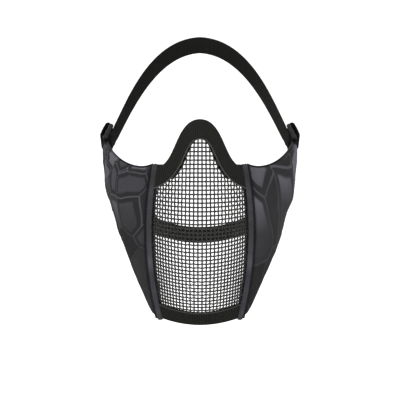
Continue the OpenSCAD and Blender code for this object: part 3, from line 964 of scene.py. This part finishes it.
def make_wing(side):
    seed, crease = {"left": (4, 1.6), "right": (11, 0.5)}[side]
    shell_out = WING_OUT + 0.05 + SHELL_T
    outer, inner, cloth = wing_layer(shell_out, 0.9, 0.0, seed, 1.0, 1.0, crease)
    settled = let_settle(outer, inner)
    inner = settled + (inner - outer)
    name, node = f"{side}_wing_fabric", f"{side}_wing_shell"
    wing_cloth(name, CAMO[side], side, "camo_fabric", node, settled, inner, cloth)

    lining_in = WING_IN - 0.05 - LINING_T
    layer = wing_layer(lining_in, 0.7, 0.012, seed + 1, -0.4, 0.4, 0.0)
    wing_cloth(f"{side}_wing_lining_cloth", LINING, side, "lining", f"{side}_wing_lining", *layer)

    u, v = wing_grid(0.0)
    u, v = 0.03 + u * 0.87, 0.03 + v * 0.94
    front_d, rear_d, top_d, bottom_d = edge_distances(on_wing(u, v, 0))
    edge = np.minimum(np.minimum(top_d, bottom_d), np.minimum(rear_d, front_d))
    half = (FOAM_T / 2 - 0.25) * roll(edge + 0.15, 3)
    b = Builder()
    b.skin(on_wing(u, v, MID_OFF + half), on_wing(u, v, MID_OFF - half), cloth_grid(front_d, top_d, half))
    foam = settle(b.piece(f"{side}_wing_pad", FOAM, side), None, "foam", f"{side}_wing_foam")
    wing_blend(foam)


for side in SIDES:
    make_wing(side)


# ---- the tabs that hold the locks ----
def make_tab(side, level):
    """A webbing tab, from the wing's outside round the lock's first bar to the wing's inside."""
    lock, v = LOCKS[level], TAB_V[level]
    edge_dir = unit(rear_edge(v + 0.03) - rear_edge(v - 0.03))
    out = wing_out_dir(0.98, v)
    into = np.cross(out, edge_dir)
    into = into * (-1 if into[1] > 0 else 1)
    seat = rear_edge(v) + out * MID_OFF
    along_bar = edge_dir * (1 if np.dot(lock.across, edge_dir) > 0 else -1)
    loop_r = BAR_D / 2 + 0.3 + TAB_T / 2
    half = TAB_T / 2 + 0.05
    rows = [(seat + into * depth + out * half, along_bar, out) for depth in np.linspace(TAB_HOLD, 0.5, 6)]
    for a in np.radians(np.linspace(115, -115, 25)):
        away = lock.pull * math.cos(a) + lock.out * math.sin(a)
        rows.append((lock.origin + away * loop_r, lock.across, away))
    rows += [(seat + into * depth - out * half, along_bar, -out) for depth in np.linspace(0.5, TAB_HOLD, 6)]
    path = rounded(np.reshape(rows, (-1, 9)), 0.6, 2)
    points, side_dirs, out_dirs = path[:, :3], unit(path[:, 3:6]), path[:, 6:]
    tangent = unit(np.gradient(points, axis=0))
    out_dirs = square_to(square_to(out_dirs, tangent), side_dirs)
    b = Builder()
    ribbon(b, points, side_dirs, out_dirs, TAB_W, TAB_T, 0.06, 1.5)
    tab = b.piece(f"{side}_{level}_tab_webbing", WEBBING, side)
    settle(tab, f"{side}_wing", "webbing", f"{side}_{level}_tab")


def make_tab_stitching(side):
    """Two rows of stitches over each tab. The row nearer the edge lies lower, as the cloth does."""
    b = Builder()
    lift = WING_OUT + 0.05 + SHELL_T - 0.25
    for level in LEVELS:
        for u, rise in ((0.945, 0.25), (0.972, -0.25)):
            v = np.linspace(TAB_V[level] - 0.11, TAB_V[level] + 0.11, 40)
            stitches(b, on_wing(u, v, lift + rise), wing_out_dir(u, v), 2.0, 0.9, 0.22)
    settle(b.piece(f"{side}_tab_stitches", THREAD, side), f"{side}_wing", "thread", f"{side}_tab_stitching")


for side in SIDES:
    for level in LEVELS:
        make_tab(side, level)
    make_tab_stitching(side)


# ---- the ladder locks, in a lock's own axes ----
def lock_rail(b, lock, y):
    """A side rail, deeper at each bar, with rounded ends."""
    x = np.concatenate([[-3.1, -2.95, -2.6, -2.0], np.linspace(-1.4, 2 * BAR_PITCH + 1.2, 40)])
    x = np.concatenate([x, 2 * BAR_PITCH + np.array([1.7, 2.2, 2.5, 2.6])])
    rings = []
    for xi in x:
        ends = min(1, math.sqrt(max(0.02, 1 - max(0, (-1.2 - xi) / 1.95) ** 2)))
        ends = min(ends, math.sqrt(max(0.02, 1 - max(0, (xi - 2 * BAR_PITCH - 0.9) / 1.75) ** 2)))
        bars = sum(math.exp(-(((xi - k * BAR_PITCH) / 2.2) ** 2)) for k in range(3))
        height = (BAR_D + 0.5 + 1.1 * min(1, bars)) * ends
        section = squared_oval(RAIL_T * (0.75 + 0.25 * ends), height, 20, (0.7, 0.7))
        rings.append([(xi, y + p[0], p[1]) for p in section])
    b.tube(placed(lock, np.array(rings)))


def lock_bar(b, lock, x, teeth):
    """A cross bar; the middle one has teeth that bite the strap."""
    a = np.linspace(0, 2 * math.pi, 20, endpoint=False)
    rings = []
    for y in np.linspace(-BAR_REACH, BAR_REACH, 85):
        tooth = teeth * max(0, math.cos(2 * math.pi * y / 1.75))
        r = BAR_D / 2 + tooth * np.clip(-np.cos(a), 0, 1) ** 2 - 0.06
        rings.append(np.stack([x + r * np.cos(a), np.full_like(a, y), r * np.sin(a)], 1))
    b.tube(placed(lock, np.array(rings)))


def lock_lip(b, lock):
    """The grip lip past the last bar: a curved ledge with three grip ridges."""
    x = np.linspace(0.2, 3.4, 30)
    ridge = 0.16 * np.maximum(0, np.cos(2 * math.pi * (x - 1.2) / 0.9)) * (x > 0.8)
    level = BAR_D / 2 + 0.05 + 0.02 * x**2
    thick = 1.3 * np.sqrt(np.clip(1 - ((x - 0.2) / 3.25) ** 6, 0.03, 1))
    section = np.concatenate([np.stack([x, level + ridge], 1), np.stack([x, level - thick], 1)[::-1]])
    rings = []
    for side_share in np.linspace(-1, 1, 40):
        reach = 0.82 + 0.18 * (0.9 - 0.9 * abs(side_share) ** 3)
        rings.append([(2 * BAR_PITCH + p[0] * reach, side_share * BAR_REACH, p[1]) for p in section])
    b.tube(placed(lock, np.array(rings)))


def make_lock(side, level):
    lock = LOCKS[level]
    b = Builder()
    for end in (-1, 1):
        lock_rail(b, lock, end * (LOCK_SPAN + RAIL_T) / 2)
    for k in range(3):
        lock_bar(b, lock, k * BAR_PITCH, 0.35 if k == 1 else 0.0)
    lock_lip(b, lock)
    piece = b.piece(f"{side}_{level}_ladder_lock", PLASTIC, side)
    settle(piece, f"{side}_{level}_lock", "lock_plastic", f"{side}_{level}_lock")


def turn_about(x, z, radius, start, end, steps):
    """Points of an arc in a lock's middle plane, with its angles in degrees."""
    angles = np.radians(np.linspace(start, end, steps))
    return [(x + radius * math.cos(a), z + radius * math.sin(a)) for a in angles]


def make_strap_end(side, level):
    """The end of a strap: in under the lock, round its middle bar, over the last bar and out."""
    lock = LOCKS[level]
    reach, curl_r = BAR_D / 2 + STRAP_T / 2 + 0.2, 2.2
    tail_z = reach + 2 * curl_r
    path = [(LOCK_OUT + 1.0, -reach), (2 * BAR_PITCH, -reach), (1.4 * BAR_PITCH, -reach)]
    path += turn_about(BAR_PITCH, 0, reach, 260, 100, 13)
    path += [(1.5 * BAR_PITCH, reach), (2 * BAR_PITCH, reach)]
    path += turn_about(LOCK_OUT + 0.6, reach + curl_r, curl_r, -90, 90, 11)
    path += [(LOCK_OUT - TAIL_L / 2, tail_z + 0.3), (LOCK_OUT - TAIL_L, tail_z - 0.2)]
    line = rounded(path, 0.45, 2)
    points = placed(lock, np.stack([line[:, 0], 0 * line[:, 0], line[:, 1]], 1))
    side_dirs = np.broadcast_to(lock.across, points.shape)
    out_dirs = np.cross(unit(np.gradient(points, axis=0)), side_dirs)
    b = Builder()
    ribbon(b, points, side_dirs, out_dirs, STRAP_W, STRAP_T, 0.07, 1.35)
    piece = b.piece(f"{side}_{level}_strap_tail", ELASTIC, side)
    settle(piece, f"{side}_{level}_lock", "elastic", f"{side}_{level}_strap_end")


# Where each stretch of a strap ends, as a share of the way from its lock to the middle.
STRETCH_ENDS = {"neck": 0.10, "side": 0.45, "rear": 0.80}


def strap_stretch(b, level, t0, t1, both=False):
    """The strap from t0 to t1 of its left half, and its mirror image too if both."""
    line = strap_line(level)
    half = np.linspace(0, 1, 600)
    s = along_lengths(bezier(line, half))
    t = np.interp(np.arange(0, s[-1], 0.45), s, half)
    t = np.concatenate([[t0], t[(t > t0 + 0.002) & (t < t1 - 0.002)], [t1]])
    points = bezier(line, t)
    along = unit(bezier(line, np.minimum(t + 0.01, 1)) - bezier(line, t - 0.01))
    out = square_to(head_out(points), along)
    grids = [points, out, across(along, out)]
    if both:
        grids = [np.concatenate([g, g[-2::-1] * np.array([-1, 1, 1])]) for g in grids]
    points, out, side_dirs = grids
    start = float(np.interp(t0, half, s))
    ribbon(b, points, side_dirs, out, STRAP_W, STRAP_T, 0.07, 1.35, start)


def make_strap(level):
    """Each side in three stretches, from lock to band, and the band."""
    cuts = [0.0, *STRETCH_ENDS.values()]
    for side in SIDES:
        for k, part in enumerate(STRETCH_ENDS):
            b = Builder()
            strap_stretch(b, level, cuts[k], cuts[k + 1])
            nodes = [f"{side}_{level}_strap_run"] if part == "side" else []
            piece = settle(b.piece(f"{side}_{level}_strap_{part}", ELASTIC, side), None, "elastic", *nodes)
            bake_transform(piece)
    b = Builder()
    strap_stretch(b, level, cuts[-1], 1.0, both=True)
    settle(b.piece(f"{level}_strap_middle", ELASTIC), f"{level}_strap", "elastic", f"{level}_strap_band")


for level in LEVELS:
    for side in SIDES:
        make_lock(side, level)
        make_strap_end(side, level)
    make_strap(level)


# ---- floor, backdrop and light ----
def stage_material():
    m = Nodes("paper")
    grain = noise(m, m.new("ShaderNodeTexCoord").outputs["Object"], 30, 4)
    colour = m.ramp(grain, [(0.3, (0.86, 0.86, 0.86)), (0.7, (0.9, 0.9, 0.9))])
    return m.finish(colour, 0.8, specular=0.1)


def make_stage():
    """A pale floor that turns up into a backdrop far behind the mask."""
    floor_z, wall_y, bend, half_w = -250.0, 1500.0, 900.0, 3500.0
    turn = np.linspace(0, math.pi / 2, 24)
    profile = [(-2500.0, floor_z)]
    profile += [(wall_y + bend * math.sin(a), floor_z + bend * (1 - math.cos(a))) for a in turn]
    profile.append((wall_y + bend, 3500.0))
    grid = np.array([[(x, y, z) for x in np.linspace(-half_w, half_w, 12)] for y, z in profile])
    b = Builder()
    b.add(grid, grid_faces(*grid.shape[:2]))
    b.piece("floor", stage_material())


def area_light(name, place, size, power):
    """A rectangular light that points at the middle of the mask."""
    light = bpy.data.lights.new(name, "AREA")
    light.shape = "RECTANGLE"
    light.size, light.size_y = size
    light.energy = power
    lamp = bpy.data.objects.new(name, light)
    bpy.context.scene.collection.objects.link(lamp)
    lamp.location = place
    lamp.rotation_mode = "QUATERNION"
    aim = Vector((0, 0.05, -0.09)) - Vector(place)
    lamp.rotation_quaternion = aim.to_track_quat("-Z", "Y")


make_stage()
area_light("key", (-0.9, -1.3, 0.9), (1.0, 1.0), 22)
area_light("fill", (1.3, -1.0, 0.3), (1.2, 1.2), 11)
area_light("top", (0.1, 0.3, 1.4), (1.4, 1.4), 14)
area_light("back", (-1.1, 1.5, 0.7), (1.0, 1.0), 16)
world = bpy.data.worlds.new("studio")
bpy.context.scene.world = world
world.use_nodes = True
background = world.node_tree.nodes["Background"]
background.inputs["Color"].default_value = (1, 1, 1, 1)
background.inputs["Strength"].default_value = 1.0
